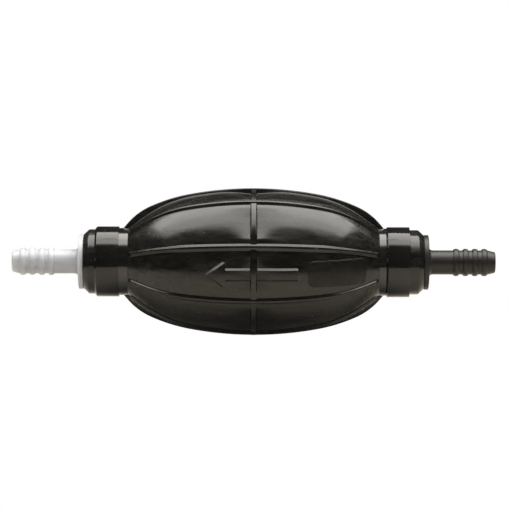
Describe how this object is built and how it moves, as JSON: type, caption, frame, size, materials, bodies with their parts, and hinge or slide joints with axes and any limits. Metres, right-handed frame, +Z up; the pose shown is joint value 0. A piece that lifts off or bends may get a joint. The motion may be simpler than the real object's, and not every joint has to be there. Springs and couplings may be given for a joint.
{
  "type": "siphon bulb pump",
  "caption": "Ribbed rubber squeeze bulb with a one-way valve and a ridged hose barb at each end, for starting a siphon by hand.",
  "frame": {"origin": "middle of the bulb, on its axis", "axes": "+X along the bulb's axis towards the inlet barb, +Z up, -Y out of the panel with the flow arrow, which points to the outlet at -X"},
  "size_m": [0.19, 0.0584, 0.0584],
  "materials": {
    "bulb_rubber": "moulded black nitrile rubber, glossy",
    "outlet_fitting_plastic": "moulded natural white nylon, semi-gloss",
    "inlet_fitting_plastic": "moulded black nylon, semi-gloss",
    "clamp_coating": "gloss black coating on a steel band",
    "valve_plastic": "moulded acetal, natural",
    "seal_rubber": "moulded nitrile rubber, satin",
    "spring_steel": "drawn stainless steel wire"
  },
  "bodies": {
    "pump_body": {"bulb_shell": "bulb_rubber", "outlet_fitting": "outlet_fitting_plastic", "outlet_clamp_ring": "clamp_coating", "outlet_valve_seat": "valve_plastic", "outlet_seat_o_ring": "seal_rubber", "outlet_guide_cage": "valve_plastic", "outlet_valve_spring": "spring_steel", "inlet_fitting": "inlet_fitting_plastic", "inlet_clamp_ring": "clamp_coating", "inlet_valve_seat": "valve_plastic", "inlet_seat_o_ring": "seal_rubber", "inlet_guide_cage": "valve_plastic", "inlet_valve_spring": "spring_steel"},
    "front_wall": {"squeeze_wall_front": "bulb_rubber"},
    "rear_wall": {"squeeze_wall_rear": "bulb_rubber"},
    "outlet_poppet_body": {"outlet_poppet": "valve_plastic", "outlet_poppet_washer": "seal_rubber"},
    "inlet_poppet_body": {"inlet_poppet": "valve_plastic", "inlet_poppet_washer": "seal_rubber"}
  },
  "joints": [
    {"name": "front_wall_squeeze", "type": "slide", "parent": "pump_body", "child": "front_wall", "axis": [0, 1, 0], "range_m": [0, 0.0095], "stiffness_N_per_m": 1500},
    {"name": "rear_wall_squeeze", "type": "slide", "parent": "pump_body", "child": "rear_wall", "axis": [0, -1, 0], "range_m": [0, 0.0095], "stiffness_N_per_m": 1500},
    {"name": "outlet_poppet_lift", "type": "slide", "parent": "pump_body", "child": "outlet_poppet_body", "axis": [-1, 0, 0], "range_m": [0, 0.0022], "stiffness_N_per_m": 80, "springref_m": -0.003, "deforming": ["outlet_valve_spring"]},
    {"name": "inlet_poppet_lift", "type": "slide", "parent": "pump_body", "child": "inlet_poppet_body", "axis": [-1, 0, 0], "range_m": [0, 0.0022], "stiffness_N_per_m": 80, "springref_m": -0.003, "deforming": ["inlet_valve_spring"]}
  ],
  "couplings": [
    {"joint": "rear_wall_squeeze", "follows": "front_wall_squeeze", "ratio": 1}
  ]
}
